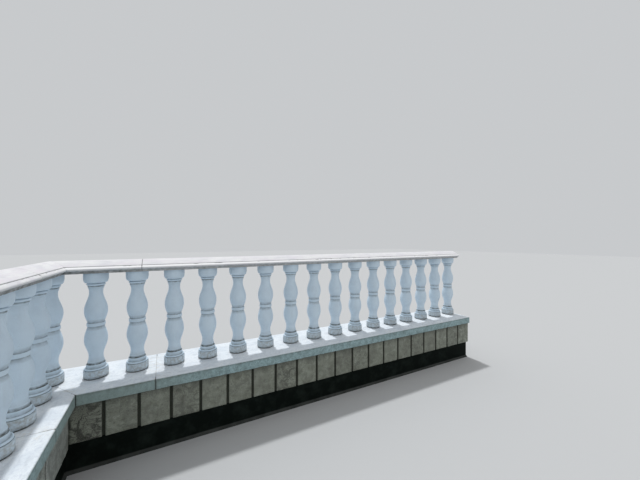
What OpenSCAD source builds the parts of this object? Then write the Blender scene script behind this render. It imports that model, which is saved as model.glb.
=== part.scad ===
// Corner of a stone balustrade on a low tiled parapet wall.
// The origin is on the floor, where the centre lines of the two runs cross.
// +X follows the long run, +Y points away from the terrace and +Z is up.
// The short run leaves the corner along -Y.

/* [Runs] */
// Baluster bays on the long run, counted from the corner
long_bays = 16; // [8:1:20]
// Baluster bays on the short run, counted from the corner
short_bays = 6; // [4:1:12]
// Distance between two baluster axes
baluster_pitch = 196; // [180:1:240]
// Distance from the last baluster's axis to the end face of a run
end_margin = 66; // [62:1:98]

/* [Parapet wall] */
// Width of the wall's core on the long run
long_core_width = 320; // [260:1:380]
// Width of the wall's core on the short run
short_core_width = 184; // [160:1:260]
// Height of the dark waterproof base band on the long run
band_height = 154; // [130:1:200]
// How much lower the band ends on the short run, where the tiles reach further down
short_band_drop = 20; // [0:1:40]
// Thickness of the base band
band_thickness = 6; // [4:0.5:12]
// Height and depth of the bevelled strip at the foot of the band
foot_strip = 14; // [8:1:20]
// Visible height of the tile course on the long run
tile_height = 190; // [150:1:230]
// Thickness of the tile course with its mortar bed
tile_thickness = 27; // [20:1:40]

/* [Coping] */
// Thickness of the coping stones
coping_thickness = 58; // [40:1:80]
// How far the coping oversails the tiles on the long run
long_oversail = 15; // [8:1:30]
// How far the coping oversails the tiles on the short run
short_oversail = 28; // [12:1:40]
// Bevel on the coping's upper edges
coping_bevel = 4; // [2:0.5:8]
// Bays from the corner to the first coping joint
coping_first_bays = 2.5; // [1.5:1:3.5]
// Bays that a coping stone covers after that
coping_stone_bays = 5; // [4:1:6]

/* [Baluster] */
// Height of a baluster
baluster_height = 580; // [560:1:640]
// Radius of the drum at the foot
base_radius = 58; // [57:0.5:61]
// Height of the drum at the foot
base_height = 46; // [40:1:52]
// Height of the half-round torus on the drum
torus_height = 10.5; // [8:0.5:14]
// Radius of the torus at its fullest
torus_radius = 55; // [53:0.5:56]
// Height of the flat ring on the torus
foot_ring_height = 20.5; // [16:0.5:25]
// Radius of the flat ring on the torus
foot_ring_radius = 45; // [42:0.5:47]
// Height of the collar over the flat ring
foot_collar_height = 16; // [10:1:22]
// Radius of the collar over the flat ring
foot_collar_radius = 39; // [37.5:0.5:41]
// Radius of the neck of the lower vase
lower_neck_radius = 34; // [30:0.5:35.5]
// Height of the waist ring's middle over the foot
waist_level = 294; // [280:1:308]
// Height of the waist ring
waist_height = 19; // [14:1:26]
// Radius of the waist ring
waist_radius = 43; // [41:0.5:47]
// Radius of the two swelling bellies
belly_radius = 54; // [49:0.5:57]
// Radius of the neck of the upper vase
upper_neck_radius = 32; // [28:0.5:34.5]
// Height of the collar under the bead
neck_collar_height = 10; // [6:1:14]
// Radius of the collar under the bead
neck_collar_radius = 38; // [36.5:0.5:40]
// Height of the bead over the upper vase
neck_bead_height = 17; // [14:1:20]
// Radius of the bead over the upper vase
neck_bead_radius = 44; // [42:0.5:45.5]
// Height of the quarter-round moulding over the bead
echinus_height = 30; // [22:1:38]
// Radius of the quarter-round moulding at its foot
echinus_radius = 46.5; // [46:0.5:51]
// Height of the cap drum under the rail
cap_height = 26; // [22:1:40]
// Radius of the cap drum under the rail
cap_radius = 58; // [55:0.5:61]

/* [Hand rail] */
// Height of the rail over the balusters
rail_height = 70; // [68:1:80]
// Width of the rail over the rounded noses along its sides
rail_width = 176; // [170:1:210]
// Width of the rail's flat underside
rail_seat_width = 136; // [126:1:148]
// Diameter of the nose along each side
rail_nose = 16; // [12:1:18]
// Width of the sloping lip, from the groove out to the nose's edge
rail_lip_width = 12; // [9:0.5:15]
// Slope of the lip in degrees
rail_lip_slope = 40; // [30:1:50]
// Height of the lip's inner edge over the rail's underside
rail_lip_level = 38; // [34:1:41]
// Width and depth of the fine groove between the lip and the shoulder over it
rail_groove = 3; // [2:0.5:5]
// Width of the rounded shoulder between the groove and the crown
rail_shoulder = 3; // [2:0.5:6]
// Rise of the crowned top over its edges
rail_crown = 28; // [22:0.5:30]
// Bays from the corner to the first rail joint
rail_first_bays = 2; // [1:1:3]
// Bays that a length of rail covers after that
rail_length_bays = 5; // [4:1:6]
// How far a rail joint lies past the axis of the baluster below it
rail_joint_offset = 27; // [0:1:36]

/* [Joints] */
// Width of the joint between two stones
joint_width = 3; // [2:0.5:6]

/* [Hidden] */
$fn = 96;
vase_steps = 20;
arc_steps = 8;

// Shape of a vase, as shares of its length from the waist ring to the far end of its neck
lower_belly_share = 0.39;
upper_belly_share = 0.345;
neck_share = 0.835;
neck_fullness = 0.8;
neck_flare = 4;
waist_inset = 5.5;

// Power of the rail's crown: 1 is a straight slope to the ridge, 2 a full curve
crown_power = 1.5;

long_end = long_bays * baluster_pitch + end_margin;
short_end = short_bays * baluster_pitch + end_margin;

wall_height = band_height + tile_height;
coping_top = wall_height + coping_thickness;
rail_bottom = coping_top + baluster_height;

// Inner corner of each layer in plan, where its faces on the two runs meet.
// The outer corner lies opposite, so it is the same point with both signs changed.
outwards = [1, -1];
core_corner = [short_core_width / 2, -long_core_width / 2];
band_corner = core_corner + band_thickness * outwards;
foot_corner = band_corner + foot_strip * outwards;
tile_corner = core_corner + tile_thickness * outwards;
coping_corner = tile_corner + [short_oversail, -long_oversail];
rail_corner = rail_width / 2 * outwards;

RUNS = ["long", "short"];
SIDES = ["inner", "outer"];

function bays_of(run) = run == "long" ? long_bays : short_bays;
function end_of(run) = run == "long" ? long_end : short_end;
function side_sign(side) = side == "inner" ? 1 : -1;
function half_width(run, corner) = run == "long" ? -corner.y : corner.x;
function band_top(run) = run == "long" ? band_height : band_height - short_band_drop;

// Stones after the corner stone, and where the joint after stone i lies
function stone_count(run, first, span) = ceil((bays_of(run) - first) / span);
function joint_at(first, span, i) = (first + i * span) * baluster_pitch;

function coping_stones(run) = stone_count(run, coping_first_bays, coping_stone_bays);
function rail_lengths(run) = stone_count(run, rail_first_bays, rail_length_bays);

function coping_joint(i) = joint_at(coping_first_bays, coping_stone_bays, i);
function rail_joint(i) = joint_at(rail_first_bays, rail_length_bays, i) + rail_joint_offset;

WALL_NODES = concat(
    [for (run = RUNS) str(run, "_wall_core")],
    [for (run = RUNS, side = SIDES) str(run, "_", side, "_tile_course")],
    [for (run = RUNS, side = SIDES) str(run, "_", side, "_base_band")]
);
COPING_NODES = concat(
    [for (run = RUNS) str(run, "_corner_coping")],
    [for (run = RUNS, i = [1 : coping_stones(run)]) str(run, "_coping_", i)]
);
BALUSTER_NODES = concat(
    ["corner_baluster"],
    [for (run = RUNS, i = [1 : bays_of(run)]) str(run, "_baluster_", i)]
);
RAIL_NODES = concat(
    [for (run = RUNS) str(run, "_corner_rail")],
    [for (run = RUNS, i = [1 : rail_lengths(run)]) str(run, "_rail_", i)]
);

stone_white = [0.88, 0.90, 0.91];
tile_brown = [0.44, 0.45, 0.41];
band_dark = [0.10, 0.13, 0.11];
core_grey = [0.62, 0.62, 0.60];

// Extrudes a section along a run. The section's x points to the terrace side and its y up.
module along(run, start, end) {
    if (run == "long")
        translate([start, 0, 0])
            mirror([0, 1, 0])
                rotate([90, 0, 90])
                    linear_extrude(end - start) children();
    else
        translate([0, -start, 0])
            rotate([90, 0, 0])
                linear_extrude(end - start) children();
}

// Plan of a strip of one run, from the mitre at the corner to its end.
// near and far are the corner points of its two sides.
function strip_plan(run, near, far, end) = run == "long"
    ? [near, [end, near.y], [end, far.y], far]
    : [near, [near.x, -end], [far.x, -end], far];

// A straight-sided layer of one run, of the given height
module layer(run, near, far, height) {
    linear_extrude(height)
        polygon(strip_plan(run, near, far, end_of(run)));
}

// A moulded corner stone: its section along the run, cut off at the mitre
module corner_stone(run, corner, end, bottom, top) {
    intersection() {
        along(run, -norm(corner), end) children();
        translate([0, 0, bottom])
            linear_extrude(top - bottom)
                polygon(strip_plan(run, corner, -corner, end));
    }
}

// The long wall runs through the corner and the short wall butts against it
module wall_core(run) {
    start = run == "long" ? -core_corner.x : -core_corner.y;
    half = half_width(run, core_corner);
    color(core_grey)
        along(run, start, end_of(run))
            translate([-half, 0])
                square([2 * half, wall_height]);
}

module tile_course(run, side) {
    sign = side_sign(side);
    color(tile_brown)
        translate([0, 0, band_top(run)])
            layer(run, sign * core_corner, sign * tile_corner, wall_height - band_top(run));
}

// Section of the base band, with the bevelled strip at its foot
module band_section(run) {
    translate([half_width(run, core_corner), 0])
        polygon([
            [0, 0],
            [band_thickness + foot_strip, 0],
            [band_thickness, foot_strip],
            [band_thickness, band_top(run)],
            [0, band_top(run)]
        ]);
}

module base_band(run, side) {
    sign = side_sign(side);
    color(band_dark)
        intersection() {
            along(run, -norm(foot_corner), end_of(run))
                scale([sign, 1]) band_section(run);
            layer(run, sign * core_corner, sign * foot_corner, band_top(run));
        }
}

// Section of the coping, a flat slab with bevelled upper edges
module coping_section(run) {
    half = half_width(run, coping_corner);
    translate([0, wall_height])
        polygon([
            [-half, 0],
            [half, 0],
            [half, coping_thickness - coping_bevel],
            [half - coping_bevel, coping_thickness],
            [coping_bevel - half, coping_thickness],
            [-half, coping_thickness - coping_bevel]
        ]);
}

module corner_coping(run) {
    end = coping_joint(0) - joint_width / 2;
    color(stone_white)
        corner_stone(run, coping_corner, end, wall_height, coping_top)
            coping_section(run);
}

// Start and end of stone i, where the last stone runs to the end of its run
function stone_start(joint) = joint + joint_width / 2;
function stone_end(run, joint, last) = last ? end_of(run) : joint - joint_width / 2;

module coping(run, i) {
    last = i == coping_stones(run);
    color(stone_white)
        along(run, stone_start(coping_joint(i - 1)), stone_end(run, coping_joint(i), last))
            coping_section(run);
}

// Points of an arc with separate radii across and up
function arc(centre, across, up, from, to, steps) = [
    for (k = [0 : steps])
        let (a = from + (to - from) * k / steps)
            centre + [across * cos(a), up * sin(a)]
];

function reversed(points) = [for (k = [1 : len(points)]) points[len(points) - k]];

// Right half of the rail's section, from its underside up to the crown
seat_edge = rail_seat_width / 2;
nose_r = rail_nose / 2;
nose_x = rail_width / 2 - nose_r;
lip_edge = rail_width / 2 - rail_lip_width;
nose_fall = (nose_r + (nose_x - lip_edge) * sin(rail_lip_slope)) / cos(rail_lip_slope);
nose_level = rail_lip_level - nose_fall;
top_edge = lip_edge - rail_groove - rail_shoulder;
edge_level = rail_height - rail_crown;

// Points of the crown, from its edge up to its ridge
crown = [
    for (k = [0 : arc_steps])
        let (share = 1 - k / arc_steps)
            [top_edge * share, rail_height - rail_crown * pow(share, crown_power)]
];

rail_half = concat(
    arc([nose_x, 0], seat_edge - nose_x, nose_level - nose_r, 0, 90, arc_steps),
    arc([nose_x, nose_level], nose_r, nose_r, -90, 90 - rail_lip_slope, arc_steps),
    [
        [lip_edge, rail_lip_level],
        [lip_edge - rail_groove / 2, rail_lip_level - rail_groove]
    ],
    arc([top_edge, rail_lip_level], rail_shoulder, edge_level - rail_lip_level, 0, 90, arc_steps),
    crown
);

other_half = [for (point = reversed(rail_half)) if (point.x > 0) [-point.x, point.y]];

module rail_section() {
    translate([0, rail_bottom])
        polygon(concat(rail_half, other_half));
}

module corner_rail(run) {
    end = rail_joint(0) - joint_width / 2;
    color(stone_white)
        corner_stone(run, rail_corner, end, rail_bottom, rail_bottom + rail_height)
            rail_section();
}

module rail(run, i) {
    last = i == rail_lengths(run);
    color(stone_white)
        along(run, stone_start(rail_joint(i - 1)), stone_end(run, rail_joint(i), last))
            rail_section();
}

// Small roundings and steps of the turned mouldings
edge_round = 3;
edge_steps = 3;
moulding_step = 1.5;

// Radius of a vase at a share of the way from the waist ring to its far end, where its radius is end
function vase_radius(share, swell, neck, end) =
    share < swell
        ? waist_foot + (belly_radius - waist_foot) * sin(90 * share / swell)
    : share < neck_share
        ? neck + (belly_radius - neck)
            * pow((1 + cos(180 * (share - swell) / (neck_share - swell))) / 2, neck_fullness)
    : neck + (end - neck) * pow((share - neck_share) / (1 - neck_share), neck_flare);

// Points of a vase, from the waist ring to the end of its neck
function vase(from, to, swell, neck, end) = [
    for (k = [0 : vase_steps])
        let (share = k / vase_steps)
            [vase_radius(share, swell, neck, end), from + (to - from) * share]
];

// Levels of the baluster's mouldings over its foot
foot_ring_level = base_height + torus_height;
foot_collar_level = foot_ring_level + foot_ring_height;
lower_neck_end = foot_collar_level + foot_collar_height;
waist_bottom = waist_level - waist_height / 2;
waist_top = waist_level + waist_height / 2;
cap_level = baluster_height - cap_height;
echinus_level = cap_level - echinus_height;
neck_bead_level = echinus_level - neck_bead_height;
upper_neck_end = neck_bead_level - neck_collar_height;

waist_foot = waist_radius - waist_inset;
torus_r = torus_height / 2;
bead_r = neck_bead_height / 2;

baluster_profile = concat(
    [[0, 0], [base_radius - moulding_step, 0], [base_radius, moulding_step]],
    arc([base_radius - edge_round, base_height - edge_round], edge_round, edge_round, 0, 90, edge_steps),
    arc([torus_radius - torus_r, base_height + torus_r], torus_r, torus_r, -90, 90, arc_steps),
    [
        [foot_ring_radius, foot_ring_level],
        [foot_ring_radius, foot_collar_level - moulding_step],
        [foot_ring_radius - moulding_step, foot_collar_level],
        [foot_collar_radius, foot_collar_level],
        [foot_collar_radius, lower_neck_end - moulding_step]
    ],
    reversed(vase(
        waist_bottom, lower_neck_end, lower_belly_share,
        lower_neck_radius, foot_collar_radius - moulding_step
    )),
    [
        [waist_radius - moulding_step, waist_bottom],
        [waist_radius, waist_bottom + moulding_step],
        [waist_radius, waist_top - moulding_step],
        [waist_radius - moulding_step, waist_top]
    ],
    vase(
        waist_top, upper_neck_end, upper_belly_share,
        upper_neck_radius, neck_collar_radius - moulding_step
    ),
    [
        [neck_collar_radius, upper_neck_end + moulding_step],
        [neck_collar_radius, neck_bead_level]
    ],
    arc(
        [neck_bead_radius - bead_r, neck_bead_level + bead_r],
        bead_r, bead_r - moulding_step, -90, 90, arc_steps
    ),
    [[neck_bead_radius - bead_r, echinus_level]],
    arc([echinus_radius, cap_level], cap_radius - echinus_radius, echinus_height, -90, 0, arc_steps),
    [[cap_radius, baluster_height], [0, baluster_height]]
);

module baluster(position) {
    color(stone_white)
        translate([position.x, position.y, coping_top])
            rotate_extrude() polygon(baluster_profile);
}

function baluster_place(run, i) = i * baluster_pitch * (run == "long" ? [1, 0] : [0, -1]);

for (run = RUNS) {
    wall_core(run);
    for (side = SIDES) {
        tile_course(run, side);
        base_band(run, side);
    }
    corner_coping(run);
    for (i = [1 : coping_stones(run)])
        coping(run, i);
    for (i = [1 : bays_of(run)])
        baluster(baluster_place(run, i));
    corner_rail(run);
    for (i = [1 : rail_lengths(run)])
        rail(run, i);
}
baluster([0, 0]);  // corner_baluster
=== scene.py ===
"""Looks of the stone balustrade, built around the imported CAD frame.

Sections are written in millimetres, as (across, up) for a run and (radius, height) for a baluster.
Across points to the terrace side. Every piece is placed from the box of its CAD node, in metres.
"""

import itertools
import math

import bpy
import numpy as np
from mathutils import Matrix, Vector


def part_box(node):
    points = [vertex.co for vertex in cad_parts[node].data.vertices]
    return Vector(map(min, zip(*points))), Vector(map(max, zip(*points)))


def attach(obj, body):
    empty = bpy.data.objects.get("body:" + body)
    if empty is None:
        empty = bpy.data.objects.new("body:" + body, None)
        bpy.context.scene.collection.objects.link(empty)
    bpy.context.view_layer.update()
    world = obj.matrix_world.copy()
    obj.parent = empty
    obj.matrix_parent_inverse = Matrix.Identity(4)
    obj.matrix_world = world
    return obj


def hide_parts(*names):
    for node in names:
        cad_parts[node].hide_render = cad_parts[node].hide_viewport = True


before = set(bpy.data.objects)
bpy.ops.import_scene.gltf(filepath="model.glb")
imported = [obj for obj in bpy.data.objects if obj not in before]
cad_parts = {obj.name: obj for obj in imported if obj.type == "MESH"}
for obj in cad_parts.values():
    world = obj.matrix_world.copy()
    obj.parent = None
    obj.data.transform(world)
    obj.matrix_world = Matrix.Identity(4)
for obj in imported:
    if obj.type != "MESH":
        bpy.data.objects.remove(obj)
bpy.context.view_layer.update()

MM = 0.001
BODY = "root"
RUNS = ("long", "short")
NODES = sorted(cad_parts)

# Camera, from the two vanishing points of the photograph
CAMERA_PLACE = (0.5298, -2.0238, 1.160)
CAMERA_TURN = -28.378
CAMERA_LENS = 16.26
CAMERA_SENSOR = 36.0
CAMERA_SHIFT = 0.0011
CAMERA_CLIP = 0.05

# Light: a soft key from behind the long run and high up, as in the photograph, and an even fill
KEY_FROM = (0.017, 0.333, 1.0)
KEY_STRENGTH = 0.585 * math.pi
KEY_ANGLE = 2.0
FILL_STRENGTH = 0.66
BACKDROP = (0.575, 0.590, 0.605)
FLOOR_COLOUR = (0.50, 0.512, 0.522)
FLOOR_SIZE = 60.0
FLOOR_ROUGHNESS = 0.95
FLOOR_SPECULAR = 0.1

# Noise: shift that keeps its cells over 0, and share of a mask that reaches the next point
CELL_SHIFT = 1000.0
SPREAD_SHARE = 0.6

# Corner roundings, and mesh steps with their closer points beside a corner
ARRIS = 1.6
RAIL_ARRIS = 1.0
TURNED_ARRIS = 1.1
BAND_ARRIS = 2.0
SHARP_TURN = 12.0
CUT_SHARE = 0.45
CORNER_GUARD = 1.5
GUARD_SHARE = 0.2
ALONG_STEP = 12.0
END_ZONE = 8.0

# Joints between stones, and the last slices at each kind of end: distance inside it, inset, share of mortar
JOINT_HALF = 1.5
JOINT_INSET = 2.4
MITRE_HALF = 1.1
END_SLICES = {
    "joint": [(-JOINT_HALF, JOINT_INSET, 1), (0.0, JOINT_INSET, 1), (0.0, 1.3, 0.5),
              (0.7, 0.3, 0), (2.2, 0.0, 0)],
    "mitre": [(0.0, JOINT_INSET, 1), (MITRE_HALF, JOINT_INSET, 1), (MITRE_HALF, 1.0, 0.5),
              (1.8, 0.2, 0), (3.2, 0.0, 0)],
    "seam": [(0.0, 0.5, 0), (0.7, 0.1, 0), (2.5, 0.0, 0)],
    "filled": [(-JOINT_HALF, 0.5, 0), (0.0, 0.4, 0), (0.7, 0.1, 0), (2.2, 0.0, 0)],
    "wall": [(0.0, 0.4, 0), (0.8, 0.0, 0), (2.5, 0.0, 0)],
}
NO_JOINT = 1e3

# Wear: depths, sizes of the noise, and the chips as noise size, level, span and depth
COPING_WEAR = 0.7
RAIL_WEAR = 0.5
BALUSTER_WEAR = 0.55
STONE_WEAR_SIZE = 42.0
STONE_FINE_SIZE = 11.0
BALUSTER_WEAR_SIZE = 34.0
STONE_CHIPS = (26.0, 0.66, 0.12, 2.6)
BALUSTER_CHIPS = (19.0, 0.68, 0.1, 1.7)

# Rail section
RAIL_SEAT = 136.0
RAIL_NOSE = 16.0
RAIL_LIP_WIDTH = 12.0
RAIL_LIP_SLOPE = 40.0
RAIL_LIP_LEVEL = 38.0
RAIL_GROOVE = 3.0
RAIL_SHOULDER = 3.0
RAIL_CROWN = 28.0
CROWN_POWER = 1.5
CROWN_STEPS = 12
RAIL_STEP = 9.0

# Coping section
COPING_BEVEL = 4.0
COPING_STEP = 11.0
RIM_WIDTH = 38.0

# Baluster outline: levels over the foot, and radii
BASE_RADIUS = 58.0
BASE_HEIGHT = 46.0
BASE_ROUNDING = 3.0
RING_LIFT = 0.3
TORUS_HEIGHT = 10.5
TORUS_RADIUS = 55.0
FOOT_RING_HEIGHT = 20.5
FOOT_RING_RADIUS = 45.0
FOOT_COLLAR_HEIGHT = 16.0
FOOT_COLLAR_RADIUS = 39.0
LOWER_NECK_RADIUS = 34.0
WAIST_LEVEL = 294.0
WAIST_HEIGHT = 19.0
WAIST_RADIUS = 43.0
BELLY_RADIUS = 54.0
UPPER_NECK_RADIUS = 32.0
NECK_COLLAR_HEIGHT = 10.0
NECK_COLLAR_RADIUS = 38.0
NECK_BEAD_HEIGHT = 17.0
NECK_BEAD_RADIUS = 44.0
ECHINUS_HEIGHT = 30.0
ECHINUS_RADIUS = 46.5
CAP_HEIGHT = 26.0
CAP_RADIUS = 58.0
LOWER_BELLY_SHARE = 0.39
UPPER_BELLY_SHARE = 0.345
NECK_SHARE = 0.835
NECK_FULLNESS = 0.8
NECK_FLARE = 4.0
WAIST_INSET = 5.5
VASE_STEPS = 26
MOULDING_STEP = 1.5
BED_HEIGHT = 4.0
BED_INSET = 4.5
BALUSTER_SIDES = 56
BALUSTER_STEP = 11.0

# Tiles and base band
TILE_PITCH = {"long": 155.0, "short": 307.0}
TILE_JOINT = {"long": 16.0, "short": 10.0}
LAST_TILE = {"long": 155.0, "short": 134.0}
TILE_GRID = 8.0
TILE_EDGE = 1.6
TILE_BODY = 15.0
TILE_RELIEF = 3.6
EDGE_DROP = 0.8
BROAD_SIZE = 62.0
RIDGE_SIZE = 34.0
TERRACES = 7
VEINED_LEAST = 0.15
VEINED_RANGE = 0.55
SHORT_TILES_PALER = 1.5
MITRE_GAP = 0.8
GROUT_DEPTH = 12.0
GROUT_STEP = 16.0
GROUT_SIZE = 14.0
GROUT_RELIEF = 1.6
BAND_FOOT = 14.0
BAND_STEP = 15.0
SHEET_LENGTH = 960.0
SHEET_STEP = 1.6
SHEET_SHIFT = 37.0
WAVE_DEPTH = 2.2
WAVE_SIZE = 120.0
WAVE_SQUEEZE = 2.2

# Seed of the first piece of each kind, and the step to the next
SEEDS = {"coping": (123, 23), "rail": (523, 23), "baluster": (1000, 31), "tile": (3070, 211), "band": (7, 5)}


# Noise

def lattice(cell, seed):
    """A fixed pseudo-random value from 0 to 1 for each whole-number cell."""
    mixed = cell[..., 0] * 73856093 ^ cell[..., 1] * 19349663 ^ cell[..., 2] * 83492791
    mixed = (mixed ^ (seed * 40503 + 12345)) & 0x7FFFFFFF
    mixed = ((mixed ^ (mixed >> 13)) * 1274126177) & 0x7FFFFFFF
    mixed = ((mixed ^ (mixed >> 15)) * 668265263) & 0x7FFFFFFF
    return ((mixed ^ (mixed >> 16)) & 0xFFFFF) / 0xFFFFF


def value_noise(points, size, seed):
    """Smooth noise from 0 to 1 whose bumps are about size apart."""
    grid = points / size + CELL_SHIFT
    base = np.floor(grid).astype(np.int64)
    part = grid - base
    part = part * part * (3 - 2 * part)
    total = np.zeros(points.shape[:-1])
    for corner in itertools.product((0, 1), repeat=3):
        weight = np.prod(np.where(np.array(corner) == 1, part, 1 - part), axis=-1)
        total += weight * lattice(base + np.array(corner), seed)
    return total


def fractal(points, size, octaves, seed):
    """Layers of noise, each half as large as the one before it, from 0 to 1."""
    total, weight = 0.0, 0.0
    for layer in range(octaves):
        share = 0.5 ** layer
        total = total + share * value_noise(points, size * share, seed + layer)
        weight += share
    return total / weight


def above(values, level, span):
    """0 below level, rising to 1 over span."""
    return np.clip((values - level) / span, 0.0, 1.0)


def between(values, low, rise, high, fall):
    """1 between two levels: rises over rise from low, and falls over fall from high."""
    return above(values, low, rise) * (1 - above(values, high, fall))


def chipping(points, chips, seed):
    """Depth of the chips at each point."""
    size, level, span, depth = chips
    return depth * above(fractal(points, size, 2, seed), level, span)


# Outlines

def arc(centre, across, up, start, end, steps):
    """Points of an elliptic arc between two angles in degrees."""
    angles = np.radians(np.linspace(start, end, steps + 1))
    return [(centre[0] + across * math.cos(a), centre[1] + up * math.sin(a)) for a in angles]


def corner_turn(before, point, after):
    """Angle by which an outline turns at a point, positive to the left."""
    a = math.atan2(point[1] - before[1], point[0] - before[0])
    b = math.atan2(after[1] - point[1], after[0] - point[0])
    return (math.degrees(b - a) + 180.0) % 360.0 - 180.0


def soften(points, radius, closed):
    """Rounds the sharp corners. Returns points and, for each, its turn: a crest over 0, a hollow under 0."""
    made = []
    count = len(points)
    for i, point in enumerate(points):
        inner = closed or 0 < i < count - 1
        before, after = points[i - 1], points[(i + 1) % count]
        turn = corner_turn(before, point, after) if inner else 0.0
        if abs(turn) < SHARP_TURN:
            made.append((point[0], point[1], 0.0))
            continue
        a = np.array(before) - point
        b = np.array(after) - point
        cut = min(radius, CUT_SHARE * np.linalg.norm(a), CUT_SHARE * np.linalg.norm(b))
        first = np.array(point) + a / np.linalg.norm(a) * cut
        last = np.array(point) + b / np.linalg.norm(b) * cut
        for t in (0.0, 0.5, 1.0):
            place = (1 - t) ** 2 * first + 2 * t * (1 - t) * np.array(point) + t ** 2 * last
            made.append((place[0], place[1], turn / 90.0))
    return made


def resample(points, step, closed):
    """Adds points so that none are further than step apart, close together beside a corner."""
    made = []
    count = len(points)
    for i in range(count if closed else count - 1):
        a, b = np.array(points[i]), np.array(points[(i + 1) % count])
        length = np.linalg.norm((b - a)[:2])
        made.append(a)
        if length < step:
            continue
        guard = min(CORNER_GUARD, GUARD_SHARE * length) / length
        inner = max(1, math.ceil(length * (1 - 2 * guard) / step))
        for t in np.linspace(guard, 1 - guard, inner + 1):
            place = a + (b - a) * t
            place[2] = 0.0
            made.append(place)
    if not closed:
        made.append(np.array(points[-1]))
    return np.array(made)


def outward(points, closed):
    """Unit normals to the right of an outline's direction."""
    if closed:
        tangent = np.roll(points, -1, axis=0) - np.roll(points, 1, axis=0)
    else:
        tangent = np.gradient(points, axis=0)
    tangent /= np.maximum(np.linalg.norm(tangent, axis=1, keepdims=True), 1e-9)
    return np.stack([tangent[:, 1], -tangent[:, 0]], axis=1)


def spread(values, passes, closed):
    """Lets a mask fade out over its neighbours along the outline."""
    out = values.copy()
    for _ in range(passes):
        left, right = np.roll(out, 1), np.roll(out, -1)
        if not closed:
            left[0], right[-1] = out[0], out[-1]
        out = np.maximum(out, SPREAD_SHARE * np.maximum(left, right))
    return out


# Meshes

def grid_quads(rows, columns, wrap):
    """Quads of a grid of points, row after row. Wrap joins the last column to the first."""
    last = columns if wrap else columns - 1
    row, column = np.meshgrid(np.arange(rows - 1), np.arange(last), indexing="ij")
    beside = (column + 1) % columns
    quads = np.stack([row * columns + column, row * columns + beside,
                      (row + 1) * columns + beside, (row + 1) * columns + column], axis=-1)
    return quads.reshape(-1, 4)


def tube_faces(rows, columns):
    """Faces of rings of points, ring after ring, with one face over each end."""
    ring = np.arange(columns)[None, :]
    return [grid_quads(rows, columns, True), ring[:, ::-1], ring + (rows - 1) * columns]


def signed_volume(co, quads):
    """A number that is under 0 where the quads face inwards."""
    a, b, c, d = (co[quads[:, k]] for k in range(4))
    return float(np.sum(np.cross(a, b) * c) + np.sum(np.cross(a, c) * d))


def add_object(name, data):
    made = bpy.data.objects.new(name, data)
    bpy.context.scene.collection.objects.link(made)
    return made


def stands_for(piece, slot, *nodes):
    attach(piece, BODY)
    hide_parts(*nodes)


def make_piece(node, ending, co, faces, material, masks, slot, sharp=32.0):
    """A closed mesh for a node, from millimetres. faces has an index array for each set of alike faces."""
    co = co.reshape(-1, 3) * MM
    quads = next(f for f in faces if f.shape[1] == 4)
    if signed_volume(co, quads) < 0:
        faces = [f[:, ::-1] for f in faces]
    corners = np.concatenate([f.ravel() for f in faces])
    sizes = np.concatenate([np.full(len(f), f.shape[1]) for f in faces])
    starts = np.concatenate([[0], np.cumsum(sizes)[:-1]])
    mesh = bpy.data.meshes.new(f"{node}_{ending}")
    mesh.vertices.add(len(co))
    mesh.vertices.foreach_set("co", np.ascontiguousarray(co, np.float32).ravel())
    mesh.loops.add(len(corners))
    mesh.loops.foreach_set("vertex_index", corners.astype(np.int32))
    mesh.polygons.add(len(sizes))
    mesh.polygons.foreach_set("loop_start", starts.astype(np.int32))
    for label, values in masks.items():
        kind = "FLOAT_VECTOR" if values.ndim == 2 else "FLOAT"
        field = "vector" if values.ndim == 2 else "value"
        layer = mesh.attributes.new(label, kind, "POINT")
        layer.data.foreach_set(field, np.ascontiguousarray(values, np.float32).ravel())
    mesh.update(calc_edges=True)
    mesh.validate()
    mesh.polygons.foreach_set("use_smooth", np.ones(len(mesh.polygons), bool))
    mesh.set_sharp_from_angle(angle=math.radians(sharp))
    mesh.materials.append(material)
    stands_for(add_object(mesh.name, mesh), slot, node)


def place(run, along, across, up):
    """From a run's own directions to the frame's axes."""
    along, across, up = np.broadcast_arrays(along, across, up)
    if run == "long":
        return np.stack([along, -across, up], axis=-1)
    return np.stack([across, -along, up], axis=-1)


def local_place(run, co):
    """From the frame's axes back to along, across and up."""
    if run == "long":
        return np.stack([co[..., 0], -co[..., 1], co[..., 2]], axis=-1)
    return np.stack([-co[..., 1], co[..., 0], co[..., 2]], axis=-1)


def span_of(run, node):
    """Start, end and half width of a node, measured along and across its run, in millimetres."""
    lo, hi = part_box(node)
    if run == "long":
        return lo.x / MM, hi.x / MM, (hi.y - lo.y) / 2 / MM
    return -hi.y / MM, -lo.y / MM, (hi.x - lo.x) / 2 / MM


def sweep(run, outline, start, end, slices):
    """Points of a swept outline.

    outline has rows of across, up and turn. start and end give the ends along the run, one value or
    one for each outline point. Each slice is (share of the way, further along, inset).
    """
    section = outline[:, :2]
    normal = outward(section, True)
    co, push = [], []
    for share, extra, inset in slices:
        along = start + (end - start) * share + extra
        moved = section - normal * inset
        co.append(place(run, along, moved[:, 0], moved[:, 1]))
        push.append(place(run, 0.0, normal[:, 0], normal[:, 1]))
    return np.array(co), np.array(push)


def slices_between(length, step):
    return [(share, 0.0, 0.0) for share in np.linspace(0, 1, max(2, math.ceil(length / step)) + 1)]


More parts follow.
